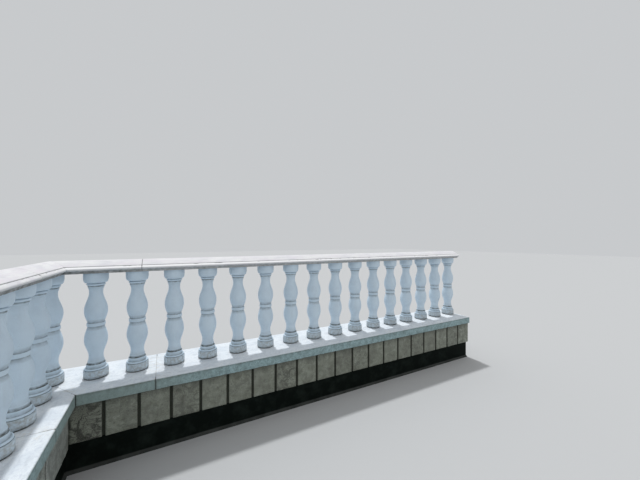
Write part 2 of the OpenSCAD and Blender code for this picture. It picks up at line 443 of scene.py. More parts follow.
def stone_slices(length, first_end, last_end):
    """Slices of one stone: its arrises and joint tongues at both ends, and even slices between.

    Returns the slices, and how far each one is mortar, from 0 to 1.
    """
    first, last = END_SLICES[first_end], END_SLICES[last_end]
    inner_from, inner_to = END_ZONE / length, 1 - END_ZONE / length
    count = max(2, math.ceil(length * (inner_to - inner_from) / ALONG_STEP))
    slices = [(0.0, extra, inset) for extra, inset, _ in first]
    joint = [mark for _, _, mark in first]
    for share in np.linspace(inner_from, inner_to, count + 1):
        slices.append((share, 0.0, 0.0))
        joint.append(0)
    for extra, inset, mark in reversed(last):
        slices.append((1.0, -extra, inset))
        joint.append(mark)
    return slices, np.array(joint, float)


# Stones of the coping and the rail

def build_stone(run, node, slot, material, outline, start, end, end_kinds, wear, seed, masks_of):
    """One moulded stone: swept, then worn inwards by noise, with small chips on its arrises."""
    slices, joint = stone_slices(float(np.min(end - start)), *end_kinds)
    co, normal = sweep(run, outline, start, end, slices)
    flat = co.reshape(-1, 3)
    crest = spread(np.clip(outline[:, 2], 0, 1), 2, True)
    shape = co.shape[:2]
    rough = fractal(flat, STONE_WEAR_SIZE, 3, seed).reshape(shape)
    fine = value_noise(flat, STONE_FINE_SIZE, seed + 7).reshape(shape)
    chip = chipping(flat, STONE_CHIPS, seed + 11).reshape(shape)
    depth = wear * (0.8 * rough + 0.25 * fine) + chip * crest[None, :] + 0.5 * crest[None, :] * fine
    depth *= (1 - joint)[:, None]
    co = co - normal * depth[..., None]
    local = local_place(run, co)
    masks = masks_of(run, local[..., 0], outline, end_kinds)
    masks = {label: values.ravel() for label, values in masks.items()}
    masks["joint"] = np.repeat(joint, shape[1])
    masks["own_place"] = local.reshape(-1, 3) * MM
    make_piece(node, "stone", co, tube_faces(*shape), material, masks, slot)


def mitre(outline, own_half, other_half):
    """Start of a corner stone along its run, for each outline point: the line from corner to corner."""
    return outline[:, 0] * other_half / own_half


def coping_outline(half, bottom, top):
    corners = [(-half, bottom), (half, bottom), (half, top - COPING_BEVEL), (half - COPING_BEVEL, top),
               (COPING_BEVEL - half, top), (-half, top - COPING_BEVEL)]
    return resample(soften(corners, ARRIS, True), COPING_STEP, True)


def rail_outline(half, bottom, top):
    """The rail's moulded section: flat seat, cove, nose, sloping lip, fine groove, shoulder and crown."""
    height = top - bottom
    nose = RAIL_NOSE / 2
    nose_x = half - nose
    lip = half - RAIL_LIP_WIDTH
    slope = math.radians(RAIL_LIP_SLOPE)
    nose_level = RAIL_LIP_LEVEL - (nose + (nose_x - lip) * math.sin(slope)) / math.cos(slope)
    seat = RAIL_SEAT / 2
    edge = lip - RAIL_GROOVE - RAIL_SHOULDER
    edge_level = height - RAIL_CROWN
    right = [(seat, 0.0)]
    right += arc((nose_x, 0.0), seat - nose_x, nose_level - nose, start=8, end=86, steps=6)
    right += arc((nose_x, nose_level), nose, nose, start=-84, end=90 - RAIL_LIP_SLOPE, steps=9)
    right += [(lip, RAIL_LIP_LEVEL), (lip - RAIL_GROOVE / 2, RAIL_LIP_LEVEL - RAIL_GROOVE)]
    right += arc((edge, RAIL_LIP_LEVEL), RAIL_SHOULDER, edge_level - RAIL_LIP_LEVEL, start=0, end=80, steps=4)
    right += [(edge * (1 - k / CROWN_STEPS), height - RAIL_CROWN * (1 - k / CROWN_STEPS) ** CROWN_POWER)
              for k in range(1, CROWN_STEPS + 1)]
    left = [(-x, y) for x, y in reversed(right) if x > 0.001]
    raised = [(x, y + bottom) for x, y in right + left]
    return resample(soften(raised, RAIL_ARRIS, True), RAIL_STEP, True)


def from_joints(along, end_kinds):
    """Distance to the nearer end that has an open joint."""
    far = np.full_like(along, NO_JOINT)
    first = along - along[0] if end_kinds[0] in ("joint", "mitre") else far
    last = along[-1] - along if end_kinds[1] == "joint" else far
    return np.minimum(first, last)


def coping_masks(_, along, outline, end_kinds):
    """Masks of a coping stone: stains on its upper edge and joints, painted shade near the corner, its sides,
    rims and ends.
    """
    up = outline[:, 1]
    across = np.abs(outline[:, 0])
    half = np.max(across)
    side = above(across, half - 6.0, 3.0)
    bevel = np.max(up) - COPING_BEVEL
    edge = side * between(up, bevel - 7.0, 4.0, bevel, 1.5)
    near = from_joints(along, end_kinds)
    beside = 1 - above(near, 2.5, 3.0)
    # Painted shade: the sides are darkened near the corner.
    corner = 1 - above(along, 350.0, 500.0)
    stained_and_shaded = 0.45 * edge[None, :] + 0.16 * corner * side[None, :]
    return {
        "grime": np.maximum(stained_and_shaded, 0.9 * beside * side[None, :]),
        "corner": corner,
        "fascia": np.tile(side, (len(along), 1)),
        "rim": np.tile(above(across, half - RIM_WIDTH, 12.0), (len(along), 1)),
        "ends": 1 - above(near, 5.0, 90.0),
    }


def rail_masks(run, along, outline, _):
    """Masks of a rail length: painted shade, partly stains, in groove and cove, painted shade on the nose's
    lower half, and a painted highlight on the long run's lip.
    """
    up = outline[:, 1] - np.min(outline[:, 1])
    across = np.abs(outline[:, 0])
    lip = np.max(across) - RAIL_LIP_WIDTH
    # Painted shade, partly stains, in the groove and the cove; painted shade on the nose's lower half; a
    # painted highlight on the long run's lip.
    groove = between(across, lip - RAIL_GROOVE - 0.5, 0.4, lip - 0.4, 0.5)
    groove *= between(up, RAIL_LIP_LEVEL - RAIL_GROOVE - 1.0, 0.5, RAIL_LIP_LEVEL + 0.8, 0.8)
    under = RAIL_LIP_LEVEL - RAIL_NOSE
    cove = 1 - above(up, under - 8.0, 5.0)
    below = 1 - above(up, under - 4.0, 8.0)
    clean = above(across, lip + 0.5, 1.0) * above(up, under + 3.0, 2.0) * (1.0 if run == "long" else 0.0)
    rows = {"grime": np.maximum(0.7 * groove, 0.5 * cove), "fascia": below, "clean": clean}
    masks = {label: np.tile(values, (len(along), 1)) for label, values in rows.items()}
    # Painted shade: the cove is darker near the corner, and along the whole short run.
    deeper_cove_shade = 1 - above(along, 300.0, 150.0) if run == "long" else 1.0
    masks["grime"] = masks["grime"] + 0.3 * cove[None, :] * deeper_cove_shade
    return masks


# Balusters

def vase_radius(share, swell, neck, end):
    """Radius of a vase at a share of the way from the waist ring to its far end, where its radius is end."""
    if share < swell:
        waist = WAIST_RADIUS - WAIST_INSET
        return waist + (BELLY_RADIUS - waist) * math.sin(math.pi / 2 * share / swell)
    if share < NECK_SHARE:
        way = (share - swell) / (NECK_SHARE - swell)
        return neck + (BELLY_RADIUS - neck) * ((1 + math.cos(math.pi * way)) / 2) ** NECK_FULLNESS
    return neck + (end - neck) * ((share - NECK_SHARE) / (1 - NECK_SHARE)) ** NECK_FLARE


def vase(start, end, swell, neck, end_radius):
    return [(vase_radius(k / VASE_STEPS, swell, neck, end_radius), start + (end - start) * k / VASE_STEPS)
            for k in range(VASE_STEPS + 1)]


def baluster_outline(height):
    """Half outline from the foot to the head, over a thin recessed bed of mortar."""
    foot_ring = BASE_HEIGHT + TORUS_HEIGHT
    foot_collar = foot_ring + FOOT_RING_HEIGHT
    lower_neck = foot_collar + FOOT_COLLAR_HEIGHT
    waist_low = WAIST_LEVEL - WAIST_HEIGHT / 2
    waist_high = WAIST_LEVEL + WAIST_HEIGHT / 2
    cap = height - CAP_HEIGHT
    echinus = cap - ECHINUS_HEIGHT
    neck_bead = echinus - NECK_BEAD_HEIGHT
    upper_neck = neck_bead - NECK_COLLAR_HEIGHT
    torus = TORUS_HEIGHT / 2
    bead = NECK_BEAD_HEIGHT / 2
    step = MOULDING_STEP
    points = [(BASE_RADIUS - BED_INSET, 0.0), (BASE_RADIUS - BED_INSET, BED_HEIGHT),
              (BASE_RADIUS - step, BED_HEIGHT), (BASE_RADIUS, BED_HEIGHT + step)]
    points += arc((BASE_RADIUS - BASE_ROUNDING, BASE_HEIGHT - BASE_ROUNDING), BASE_ROUNDING, BASE_ROUNDING,
                  start=0, end=90, steps=3)
    points += arc((TORUS_RADIUS - torus, BASE_HEIGHT + torus), torus, torus, start=-84, end=84, steps=8)
    points += [(FOOT_RING_RADIUS, foot_ring + RING_LIFT), (FOOT_RING_RADIUS, foot_collar - step),
               (FOOT_RING_RADIUS - step, foot_collar), (FOOT_COLLAR_RADIUS, foot_collar),
               (FOOT_COLLAR_RADIUS, lower_neck - step)]
    points += reversed(vase(waist_low, lower_neck, LOWER_BELLY_SHARE, LOWER_NECK_RADIUS,
                            FOOT_COLLAR_RADIUS - step))
    points += [(WAIST_RADIUS - step, waist_low), (WAIST_RADIUS, waist_low + step),
               (WAIST_RADIUS, waist_high - step), (WAIST_RADIUS - step, waist_high)]
    points += vase(waist_high, upper_neck, UPPER_BELLY_SHARE, UPPER_NECK_RADIUS,
                   NECK_COLLAR_RADIUS - step)
    points += [(NECK_COLLAR_RADIUS, upper_neck + step), (NECK_COLLAR_RADIUS, neck_bead)]
    points += arc((NECK_BEAD_RADIUS - bead, neck_bead + bead), bead, bead - step, start=-84, end=84, steps=8)
    points += [(NECK_BEAD_RADIUS - bead, echinus)]
    points += arc((ECHINUS_RADIUS, cap), CAP_RADIUS - ECHINUS_RADIUS, ECHINUS_HEIGHT,
                  start=-88, end=0, steps=8)
    points += [(CAP_RADIUS, height)]
    return resample(soften(points, TURNED_ARRIS, False), BALUSTER_STEP, False)


def build_baluster(node, seed, material):
    """One baluster: the outline revolved, then worn, chipped and masked for stains and painted shade."""
    lo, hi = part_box(node)
    centre = np.array([(lo.x + hi.x) / 2, (lo.y + hi.y) / 2, lo.z]) / MM
    height = (hi.z - lo.z) / MM
    outline = baluster_outline(height)
    level = outline[:, 1]
    normal = outward(outline[:, :2], False)
    angles = np.linspace(0, 2 * math.pi, BALUSTER_SIDES, endpoint=False)
    turn = np.stack([np.cos(angles), np.sin(angles)], axis=1)

    def revolve(radius, up):
        around = radius[:, None, None] * turn[None]
        return np.concatenate([around, np.repeat(up[:, None, None], BALUSTER_SIDES, axis=1)], axis=2)

    co = revolve(outline[:, 0], level) + centre
    push = revolve(normal[:, 0], normal[:, 1])
    flat = co.reshape(-1, 3)
    shape = (len(outline), BALUSTER_SIDES)
    crest = spread(np.clip(outline[:, 2], 0, 1), 1, False)
    hollow = spread(np.clip(-outline[:, 2], 0, 1), 2, False)
    rough = fractal(flat, BALUSTER_WEAR_SIZE, 3, seed).reshape(shape)
    chip = chipping(flat, BALUSTER_CHIPS, seed + 11).reshape(shape)
    depth = BALUSTER_WEAR * rough + chip * crest[:, None]
    depth[level < BED_HEIGHT + 0.1] = 0.0
    co = co - push * depth[..., None]
    ledge = BASE_HEIGHT + TORUS_HEIGHT + FOOT_RING_HEIGHT
    ledge_dust_and_shade = between(level, ledge - 1.0, 0.6, ledge + 3.0, 3.0)
    foot_contact_shade = 1 - above(level, BED_HEIGHT + 2.0, 4.0)
    bead = height - CAP_HEIGHT - ECHINUS_HEIGHT - NECK_BEAD_HEIGHT
    under_bead_shade = between(level, bead - 4.0, 1.5, bead + 1.5, 1.5)
    # Painted shade: creases, the band under the neck bead and the foot's bottom edge are darkened as shade;
    # the top of the foot ring gets dust and painted shade.
    lines = {
        "grime": np.maximum(np.maximum(0.62 * hollow, 0.8 * under_bead_shade), np.maximum(ledge_dust_and_shade, foot_contact_shade)),
        "joint": 1 - above(level, BED_HEIGHT - 0.3, 0.4),
        "foot": 1 - above(level, BASE_HEIGHT - 2.0, 8.0),
    }
    masks = {label: np.repeat(values, BALUSTER_SIDES) for label, values in lines.items()}
    make_piece(node, "stone", co, tube_faces(*shape), material, masks, "baluster")


# Tiles

def wall_cover(run, side, kind):
    """A cover of a wall's face: node, side as 1 or -1, then ends, back, front, foot and head."""
    node = f"{run}_{side}_{kind}"
    lo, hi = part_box(node)
    core_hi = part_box(f"{run}_wall_core")[1]
    across = 1 if run == "long" else 0
    front = max(abs(lo[across]), abs(hi[across])) / MM
    sign = 1 if side == "inner" else -1
    return node, sign, span_of(run, node)[:2], core_hi[across] / MM, front, lo.z / MM, hi.z / MM


def tile_grid(length):
    """Even stations across a tile, with extra ones at its two edges."""
    count = max(3, math.ceil((length - 2 * TILE_EDGE) / TILE_GRID))
    return np.concatenate([[0.0], np.linspace(TILE_EDGE, length - TILE_EDGE, count + 1), [length]])


def tile_shell(run, sign, near, slope, plane, low, high, veined, seed):
    """One cleft tile as a closed shell.

    near holds its two ends along the run at the face plane. slope says how far its start shifts for each
    millimetre behind that plane, which is 0, or 1 or -1 at the mitre.
    """
    along = near[0] + tile_grid(near[1] - near[0])
    up = low + tile_grid(high - low)
    a, z = np.meshgrid(along, up, indexing="ij")
    flat = np.stack([a, np.full_like(a, plane), z], axis=-1)
    broad = fractal(flat, BROAD_SIZE, 3, seed)
    ridge = 1 - np.abs(2 * fractal(flat, RIDGE_SIZE, 3, seed + 5) - 1)
    terraces = np.floor(broad * TERRACES) / TERRACES + above(broad * TERRACES % 1.0, 0.7, 0.3) / TERRACES
    depth = TILE_RELIEF * np.clip(0.75 * terraces + 0.45 * ridge - 0.25, 0, 1)
    edge = np.zeros_like(depth)
    edge[0, :] = edge[-1, :] = edge[:, 0] = edge[:, -1] = TILE_EDGE
    depth = depth + edge * EDGE_DROP
    front = place(run, a, sign * (plane - depth), z)
    right, top = len(along) - 1, len(up) - 1
    rim = [(i, 0) for i in range(right + 1)] + [(right, j) for j in range(1, top + 1)]
    rim += [(i, top) for i in range(right - 1, -1, -1)] + [(0, j) for j in range(top - 1, 0, -1)]
    row, column = np.array(rim).T
    rim_index = row * len(up) + column
    share = (a[row, column] - near[0]) / (near[1] - near[0])
    back_along = a[row, column] + TILE_BODY * (slope * (1 - share))
    back = place(run, back_along, sign * (plane - TILE_BODY), z[row, column])
    co = np.concatenate([front.reshape(-1, 3), back])
    back_index = len(along) * len(up) + np.arange(len(rim))
    sides = np.stack([rim_index, back_index, np.roll(back_index, -1), np.roll(rim_index, -1)], axis=1)
    quads = np.concatenate([grid_quads(len(along), len(up), False), sides])
    tone = np.full(len(co), value_noise(np.array([[seed * 7.3, 1.0, 2.0]]), 1.0, 3)[0])
    if run == "short":
        tone -= SHORT_TILES_PALER
    deep = np.concatenate([(depth / TILE_RELIEF).ravel(), np.ones(len(rim))])
    drop = (high - np.concatenate([z.ravel(), z[row, column]])) * MM
    masks = {"tone": tone, "deep": deep, "drop": drop, "veined": np.full(len(co), veined)}
    return co, quads, back_index[None, :], masks


def tile_joints(run, start, end):
    """Joint centres between start and end, counted back from the last joint."""
    count = math.ceil((end - start) / TILE_PITCH[run])
    joints = [end - LAST_TILE[run] - k * TILE_PITCH[run] for k in reversed(range(count))]
    return [joint for joint in joints if joint > start + TILE_JOINT[run]]


def build_tiles(run, side, tile_material, grout_material, seed):
    node, sign, ends, back, plane, low, high = wall_cover(run, side, "tile_course")
    # At the mitre the face starts later than the back on the inner side, and earlier on the outer side.
    face_start = ends[0] + (plane - back) if sign > 0 else ends[0]
    gap = TILE_JOINT[run] / 2
    joints = tile_joints(run, face_start, ends[1])
    edges = [face_start + MITRE_GAP] + [j + o for j in joints for o in (-gap, gap)] + [ends[1]]
    shells = []
    for k in range(0, len(edges), 2):
        slope = -float(sign) if k == 0 else 0.0
        veined = VEINED_LEAST + VEINED_RANGE * lattice(np.array([seed, k, 1]), 5)
        if k == 0 and run == "long":
            veined = 1.0
        shells.append(tile_shell(run, sign, edges[k:k + 2], slope, plane, low, high, veined, seed + k))
    co = np.concatenate([s[0] for s in shells])
    offsets = np.cumsum([0] + [len(s[0]) for s in shells[:-1]])
    quads = np.concatenate([s[1] + o for s, o in zip(shells, offsets)])
    by_size = {}
    for s, o in zip(shells, offsets):
        by_size.setdefault(s[2].shape[1], []).append(s[2] + o)
    faces = [quads] + [np.concatenate(group) for group in by_size.values()]
    masks = {label: np.concatenate([s[3][label] for s in shells]) for label in shells[0][3]}
    make_piece(node, "tiles", co, faces, tile_material, masks, "tile", sharp=50.0)
    build_grout(run, node, sign, ends, back, plane, low, high, grout_material, seed)


def build_grout(run, node, sign, ends, back, plane, low, high, material, seed):
    """The mortar bed behind the tiles, whose slightly uneven face shows in the joints."""
    front = plane - GROUT_DEPTH
    corners = [(back, low, 0.0), (front, low, 0.0), (front, high, 0.0), (back, high, 0.0)]
    outline = resample(corners, GROUT_STEP, True)
    # The bed's corner follows the mitre: it starts at the core's corner and moves with the depth.
    shift = outline[:, 0] - back
    start = ends[0] + shift if sign > 0 else ends[0] + (plane - back) - shift
    face = above(outline[:, 0], front - 0.6, 0.4)
    outline[:, 0] *= sign
    co, _ = sweep(run, outline, start, ends[1], slices_between(ends[1] - ends[0], GROUT_STEP))
    uneven = value_noise(co.reshape(-1, 3), GROUT_SIZE, seed).reshape(co.shape[:2])
    co = co - place(run, 0.0, float(sign), 0.0) * (GROUT_RELIEF * uneven * face[None, :])[..., None]
    make_piece(node, "mortar", co, tube_faces(*co.shape[:2]), material, {}, "tile")


# Base band

def build_band(run, side, material, seed):
    """The waterproof sheet: lapped lengths with faint waves, over a bevelled strip at the foot."""
    node, sign, ends, back, front, _, height = wall_cover(run, side, "base_band")
    thickness = front - back - BAND_FOOT
    reach = thickness + BAND_FOOT
    corners = [(0.0, 0.0), (reach, 0.0), (thickness, BAND_FOOT), (thickness, height), (0.0, height)]
    outline = resample(soften(corners, BAND_ARRIS, True), BAND_STEP, True)
    start = ends[0] + outline[:, 0] if sign > 0 else ends[0] + reach - outline[:, 0]
    swept = outline.copy()
    swept[:, 0] = sign * (outline[:, 0] + back)
    co, _ = sweep(run, swept, start, ends[1], slices_between(ends[1] - ends[0], BAND_STEP))
    along = local_place(run, co)[..., 0]
    squeezed = np.stack([along, co[..., 2] * WAVE_SQUEEZE, np.full_like(along, front)], axis=-1)
    wave = fractal(squeezed.reshape(-1, 3), WAVE_SIZE, 3, seed).reshape(along.shape)
    lap = (np.floor((along + seed * SHEET_SHIFT) / SHEET_LENGTH) % 2) * SHEET_STEP
    face = above(outline[:, 0], thickness - 1.0, 0.9) * above(outline[:, 1], 1.0, BAND_FOOT)
    depth = (WAVE_DEPTH * wave + lap) * face[None, :]
    co = co - place(run, 0.0, float(sign), 0.0) * depth[..., None]
    masks = {"strip": np.tile(1 - above(outline[:, 1], BAND_FOOT - 1.0, 2.0), len(co))}
    make_piece(node, "sheet", co, tube_faces(*co.shape[:2]), material, masks, "band")


# Materials

def find_node(tree, kind):
    return next(n for n in tree.nodes if n.type == kind)


class Shader:
    """Adds and joins the nodes of one material, and keeps the colour made so far."""

    def __init__(self, name, roughness, specular):
        self.material = bpy.data.materials.new(name)
        self.material.use_nodes = True
        self.tree = self.material.node_tree
        self.principled = find_node(self.tree, "BSDF_PRINCIPLED")
        self.principled.inputs["Roughness"].default_value = roughness
        self.principled.inputs["Specular IOR Level"].default_value = specular
        self.coordinates = self.add("TexCoord").outputs["Object"]
        self.colour = None

    def add(self, kind):
        return self.tree.nodes.new("ShaderNode" + kind)

    def join(self, value, socket):
        if isinstance(value, bpy.types.NodeSocket):
            self.tree.links.new(value, socket)
        elif isinstance(value, tuple):
            socket.default_value = (*value, 1.0)
        else:
            socket.default_value = value

    def fill(self, node, **values):
        for label, value in values.items():
            node.inputs[label].default_value = value

    def noise(self, scale, detail=3.0, roughness=0.55, stretch=None, vector=None, swirl=0.0):
        source = vector or self.coordinates
        if stretch:
            mapping = self.add("Mapping")
            self.join(source, mapping.inputs["Vector"])
            self.fill(mapping, Scale=stretch)
            source = mapping.outputs["Vector"]
        node = self.add("TexNoise")
        self.join(source, node.inputs["Vector"])
        self.fill(node, Scale=scale, Detail=detail, Roughness=roughness, Distortion=swirl)
        return node.outputs["Fac"]

    def cells(self, scale):
        node = self.add("TexVoronoi")
        self.join(self.coordinates, node.inputs["Vector"])
        self.fill(node, Scale=scale)
        return node.outputs["Distance"]

    def mask(self, name, output="Fac"):
        node = self.add("Attribute")
        node.attribute_name = name
        return node.outputs[output]

    def own_place(self):
        """Place along, across and up on the stone's own run."""
        return self.mask("own_place", "Vector")

    def steps(self, value, low, high, out_low=0.0, out_high=1.0):
        node = self.add("MapRange")
        self.join(value, node.inputs["Value"])
        self.fill(node, **{"From Min": low, "From Max": high, "To Min": out_low, "To Max": out_high})
        return node.outputs["Result"]

    def math(self, operation, a, b=0.0):
        node = self.add("Math")
        node.operation = operation
        node.use_clamp = operation == "MULTIPLY"
        self.join(a, node.inputs[0])
        self.join(b, node.inputs[1])
        return node.outputs["Value"]

    def times(self, a, b):
        return self.math("MULTIPLY", a, b)

    def mix(self, share, a, b):
        node = self.add("Mix")
        node.data_type = "RGBA"
        self.join(share, node.inputs["Factor"])
        self.join(a, node.inputs[6])
        self.join(b, node.inputs[7])
        return node.outputs[2]

    def paint(self, share, colour):
        """Lays a colour over the colour made so far."""
        self.colour = self.mix(share, self.colour, colour)

    def normal_up(self):
        geometry = self.add("NewGeometry")
        split = self.add("SeparateXYZ")
        self.join(geometry.outputs["Normal"], split.inputs[0])
        return split.outputs["Z"]

    def upright(self):
        """1 on a vertical face and 0 on a level one."""
        return self.steps(self.math("ABSOLUTE", self.normal_up()), 0.9, 0.35)

    def underside(self):
        """1 on a face that looks down."""
        return self.steps(self.normal_up(), -0.15, -0.8)

    def bump(self, height, strength, distance, under=None):
        node = self.add("Bump")
        self.join(height, node.inputs["Height"])
        self.fill(node, Strength=strength, Distance=distance)
        if under:
            self.join(under, node.inputs["Normal"])
        return node.outputs["Normal"]

    def done(self, normal, roughness=None):
        self.join(self.colour, self.principled.inputs["Base Color"])
        self.join(normal, self.principled.inputs["Normal"])
        if roughness:
            self.join(roughness, self.principled.inputs["Roughness"])
        return self.material


MORTAR_COLOUR = (0.050, 0.055, 0.050)
# Colour for stains and for painted shade in creases, coves and under parts
GRIME_AND_SHADE_COLOUR = (0.085, 0.095, 0.085)
PIT_COLOUR = (0.16, 0.17, 0.16)
STREAK_SHADE = 0.80
SPECKLE_SHADE = 0.62


def darker(colour, share):
    return tuple(share * c for c in colour)


def stone_material(name, base, shade, mottle_scale, grain=None, speckled=0.28):
    """Pale cast stone: mottled, speckled and pitted, and streaked along its run where it has a grain."""
    shader = Shader(name, roughness=0.72, specular=0.35)
    patches = shader.noise(mottle_scale, 4.0, 0.6)
    shader.colour = shader.mix(shader.steps(patches, 0.42, 0.68, 0.0, 0.85), base, shade)
    if grain:
        streaks = shader.noise(9.0, 4.0, 0.62, stretch=grain, vector=shader.own_place())
        shader.paint(shader.steps(streaks, 0.50, 0.70, 0.0, 0.55), darker(shade, STREAK_SHADE))
    speckle = shader.noise(420.0, 2.0, 0.6)
    shader.paint(shader.steps(speckle, 0.40, 0.72, 0.0, speckled), darker(shade, SPECKLE_SHADE))
    pits = shader.steps(shader.cells(150.0), 0.16, 0.05)
    rare = shader.steps(shader.noise(38.0, 2.0), 0.55, 0.62)
    pits = shader.times(pits, rare)
    shader.paint(shader.times(pits, 0.5), PIT_COLOUR)
    return shader, speckle, pits


def stone_finish(shader, speckle, pits, least_darkening=0.35, mortar=MORTAR_COLOUR):
    """Adds stains and painted shade, and joints, where the masks put them, then the fine relief."""
    # Painted shade as well as stains: the mask darkens creases, coves, undersides and the corner.
    blotch = shader.noise(55.0, 4.0, 0.65)
    darkening = shader.times(shader.mask("grime"), shader.steps(blotch, 0.30, 0.62, least_darkening, 1.0))
    shader.paint(darkening, GRIME_AND_SHADE_COLOUR)
    shader.paint(shader.steps(shader.mask("joint"), 0.3, 0.7), mortar)
    roughness = shader.steps(speckle, 0.3, 0.7, 0.62, 0.82)
    relief = shader.bump(speckle, 0.25, 0.0006)
    return shader.done(shader.bump(pits, -0.5, 0.0008, relief), roughness)


# Painted shade: the stone colours hold the blue of shade, so the balusters look bluer than the stone is.
BALUSTER_STONE_SHADE_BLUE, BALUSTER_SHADE = (0.628, 0.758, 0.868), (0.574, 0.696, 0.806)
BALUSTER_RUNS = (0.465, 0.530, 0.567)
BALUSTER_FOOT = (0.372, 0.391, 0.386)


def baluster_material():
    shader, speckle, pits = stone_material(
        "baluster_stone", BALUSTER_STONE_SHADE_BLUE, BALUSTER_SHADE, 14.0, speckled=0.12)
    runs = shader.noise(30.0, 4.0, 0.6, stretch=(1.0, 1.0, 0.16))
    shader.paint(shader.steps(runs, 0.55, 0.78, 0.0, 0.25), BALUSTER_RUNS)
    blotch = shader.noise(75.0, 4.0, 0.7)
    foot = shader.times(shader.mask("foot"), shader.steps(blotch, 0.36, 0.66, 0.20, 0.95))
    shader.paint(foot, BALUSTER_FOOT)
    return stone_finish(shader, speckle, pits)


# Partly painted shade: the stone, mottle and dust colours hold some of the blue of shade.
COPING_STONE_SHADE_BLUE, COPING_SHADE = (0.812, 0.862, 0.903), (0.680, 0.742, 0.805)
COPING_RUST = (0.60, 0.575, 0.515)
COPING_DUST = (0.53, 0.575, 0.66)
COPING_UNDERSIDE_SHADE = (0.30, 0.33, 0.31)
COPING_POINTING = (0.52, 0.53, 0.53)
FASCIA_PALE, FASCIA_DARK = (0.315, 0.460, 0.490), (0.175, 0.258, 0.262)
FASCIA_SPECKS = (0.090, 0.135, 0.140)
FASCIA_CORNER_SHADE = (0.245, 0.315, 0.285)


def coping_material():
    """Coping stone: rusty by its open joints, with dust on top, stains on its sides, and painted shade near
    the corner and on its underside.
    """
    shader, speckle, pits = stone_material(
        "coping_stone", COPING_STONE_SHADE_BLUE, COPING_SHADE, 11.0, grain=(1.6, 4.0, 4.0))
    rust = shader.noise(48.0, 4.0, 0.65)
    shader.paint(shader.times(shader.mask("ends"), shader.steps(rust, 0.46, 0.68, 0.0, 0.55)), COPING_RUST)
    dust = shader.noise(60.0, 5.0, 0.72)
    shader.paint(shader.steps(dust, 0.50, 0.68, 0.0, 0.6), COPING_DUST)
    side = shader.times(shader.mask("fascia"), shader.upright())
    runs = shader.noise(34.0, 6.0, 0.72, stretch=(1.0, 1.0, 0.8), vector=shader.own_place())
    stained_and_shaded = shader.mix(shader.steps(runs, 0.40, 0.66), FASCIA_PALE, FASCIA_DARK)
    specks = shader.noise(130.0, 3.0, 0.7)
    stained_and_shaded = shader.mix(shader.steps(specks, 0.46, 0.66, 0.0, 0.6), stained_and_shaded, FASCIA_SPECKS)
    # Painted shade: the sides darken near the corner.
    stained_and_shaded = shader.mix(shader.times(shader.mask("corner"), 0.6), stained_and_shaded, FASCIA_CORNER_SHADE)
    shader.paint(shader.times(side, 0.95), stained_and_shaded)
    # Painted shade: faces that look down are darkened.
    shader.paint(shader.times(shader.underside(), 0.6), COPING_UNDERSIDE_SHADE)
    # Partly painted shade: the pointing is dark near each edge and down the sides, standing for the joint in
    # shade on the front strip, and pale across the open top.
    mortar = shader.mix(shader.mask("rim"), COPING_POINTING, MORTAR_COLOUR)
    return stone_finish(shader, speckle, pits, mortar=mortar)


RAIL_STONE, RAIL_SHADE = (0.778, 0.793, 0.800), (0.660, 0.665, 0.715)
RAIL_BANDS = (0.680, 0.655, 0.705)
RAIL_LIP_HIGHLIGHT = (0.945, 0.955, 0.975)
RAIL_BELOW_NOSE_SHADE = (0.38, 0.43, 0.43)
RAIL_POINTING = (0.23, 0.24, 0.24)


def rail_material():
    """Rail stone: banded along its run, with a painted highlight on the long run's lip and painted shade
    below its nose.
    """
    shader, speckle, pits = stone_material("rail_stone", RAIL_STONE, RAIL_SHADE, 13.0, grain=(1.2, 7.0, 7.0))
    bands = shader.noise(7.0, 4.0, 0.6, stretch=(0.8, 6.0, 6.0), vector=shader.own_place())
    shader.paint(shader.steps(bands, 0.44, 0.66, 0.0, 0.8), RAIL_BANDS)
    # Painted highlight: the long run's lip is painted paler where the key light falls on it.
    shader.paint(shader.times(shader.mask("clean"), 0.9), RAIL_LIP_HIGHLIGHT)
    blotch = shader.noise(42.0, 4.0, 0.6)
    # Painted shade: the nose's lower half is darkened.
    shader.paint(shader.times(shader.mask("fascia"), shader.steps(blotch, 0.38, 0.66, 0.1, 0.65)), RAIL_BELOW_NOSE_SHADE)
    return stone_finish(shader, speckle, pits, least_darkening=0.45, mortar=RAIL_POINTING)


TILE_STONE, TILE_SHADE = (0.288, 0.318, 0.266), (0.174, 0.189, 0.148)
TILE_DARK, TILE_PALE = (0.146, 0.158, 0.128), (0.43, 0.465, 0.455)
TILE_VEIN = (0.040, 0.043, 0.034)
TILE_HOLLOW_SHADE = (0.085, 0.085, 0.070)
TILE_STAIN_AND_SHADE = (0.070, 0.080, 0.062)
TILE_SPOTS = (0.060, 0.065, 0.052)
TILE_GRAIN = (0.38, 0.39, 0.36)


